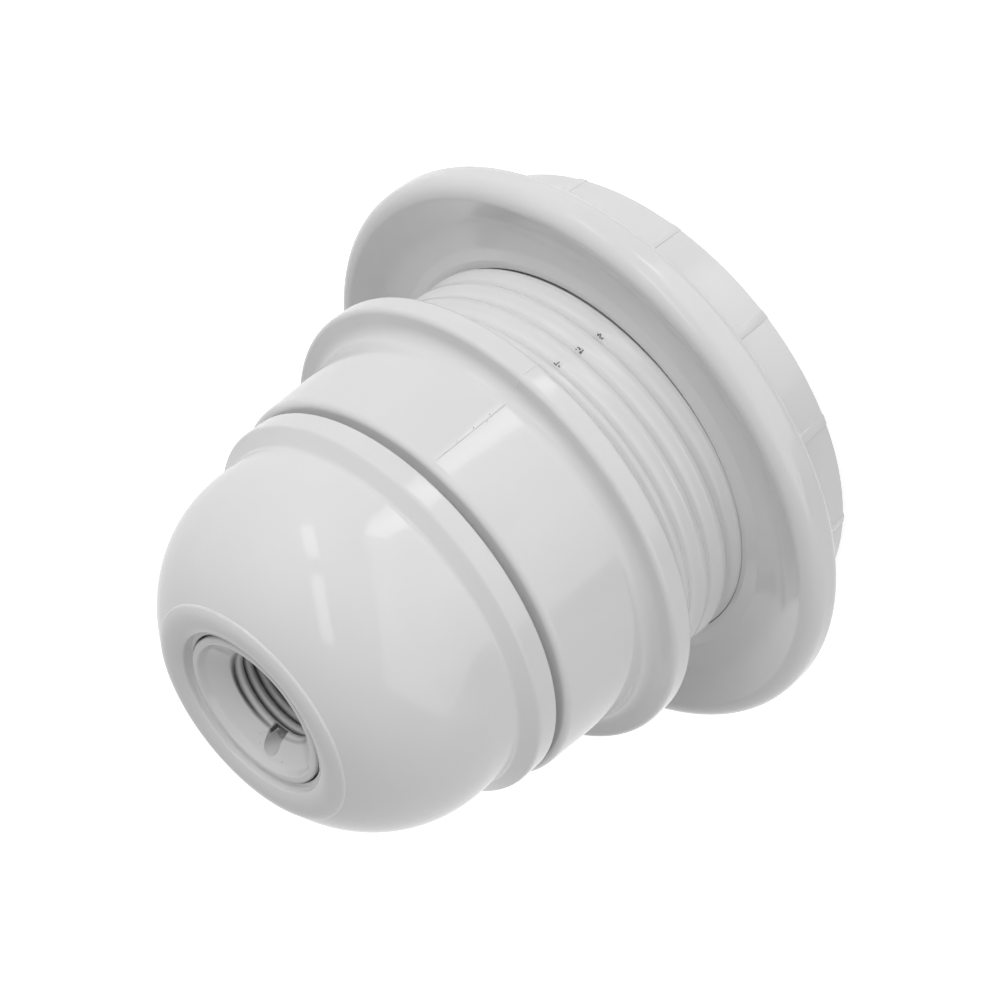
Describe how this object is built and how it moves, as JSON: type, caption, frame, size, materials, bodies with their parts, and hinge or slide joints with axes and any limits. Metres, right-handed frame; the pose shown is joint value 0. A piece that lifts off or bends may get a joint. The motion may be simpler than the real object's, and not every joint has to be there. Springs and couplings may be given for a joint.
{
  "type": "screw-base lamp holder",
  "caption": "Screw-base lamp holder with a domed cap, a threaded barrel, a screw-on shade ring and a threaded entry for a tube on top.",
  "frame": {"origin": "centre of the lamp mouth, in the plane of the mouth rim", "axes": "+Z along the axis from the mouth to the entry on top of the cap; the two terminals lie along X, the live one at +X"},
  "size_m": [0.058, 0.058, 0.0532],
  "materials": {
    "white_plastic": "moulded gloss",
    "block_plastic": "moulded",
    "brass": "machined",
    "spring_bronze": "rolled strip",
    "steel": "zinc plated"
  },
  "bodies": {
    "cap": {"cap": "white_plastic", "entry_bush": "white_plastic"},
    "locking_screw": {"locking_screw": "steel"},
    "contact_block": {"contact_block": "block_plastic", "centre_contact": "spring_bronze", "side_contact": "spring_bronze", "contact_rivet": "brass", "live_terminal": "brass", "neutral_terminal": "brass"},
    "live_clamp_plate": {"live_clamp_plate": "steel"},
    "live_terminal_screw": {"live_terminal_screw": "steel"},
    "neutral_clamp_plate": {"neutral_clamp_plate": "steel"},
    "neutral_terminal_screw": {"neutral_terminal_screw": "steel"},
    "shell": {"shell": "white_plastic"},
    "shade_ring": {"shade_ring": "white_plastic"}
  },
  "joints": [
    {"name": "block_travel", "type": "slide", "parent": "cap", "child": "contact_block", "axis": [0, 0, -1], "range_m": [0, 0.006]},
    {"name": "shell_unscrew", "type": "hinge", "parent": "contact_block", "child": "shell", "pos_m": [0, 0, 0.026], "axis": [0, 0, -1], "range_deg": [0, 1080]},
    {"name": "ring_travel", "type": "slide", "parent": "shell", "child": "shade_ring", "axis": [0, 0, 1], "range_m": [-0.01, 0.0102]},
    {"name": "locking_screw_travel", "type": "slide", "parent": "cap", "child": "locking_screw", "axis": [0, 0, 1], "range_m": [0, 0.006]},
    {"name": "live_plate_lift", "type": "slide", "parent": "contact_block", "child": "live_clamp_plate", "axis": [0, 0, 1], "range_m": [0, 0.002]},
    {"name": "live_screw_turn", "type": "hinge", "parent": "live_clamp_plate", "child": "live_terminal_screw", "pos_m": [0.0094, 0, 0.0335], "axis": [0, 0, 1], "range_deg": [0, 1440]},
    {"name": "neutral_plate_lift", "type": "slide", "parent": "contact_block", "child": "neutral_clamp_plate", "axis": [0, 0, 1], "range_m": [0, 0.002]},
    {"name": "neutral_screw_turn", "type": "hinge", "parent": "neutral_clamp_plate", "child": "neutral_terminal_screw", "pos_m": [-0.0094, 0, 0.0335], "axis": [0, 0, 1], "range_deg": [0, 1440]}
  ],
  "couplings": [
    {"joint": "block_travel", "follows": "shell_unscrew", "m_per_rad": 0.00031831},
    {"joint": "live_screw_turn", "follows": "live_plate_lift", "rad_per_m": 12566},
    {"joint": "neutral_screw_turn", "follows": "neutral_plate_lift", "rad_per_m": 12566}
  ]
}
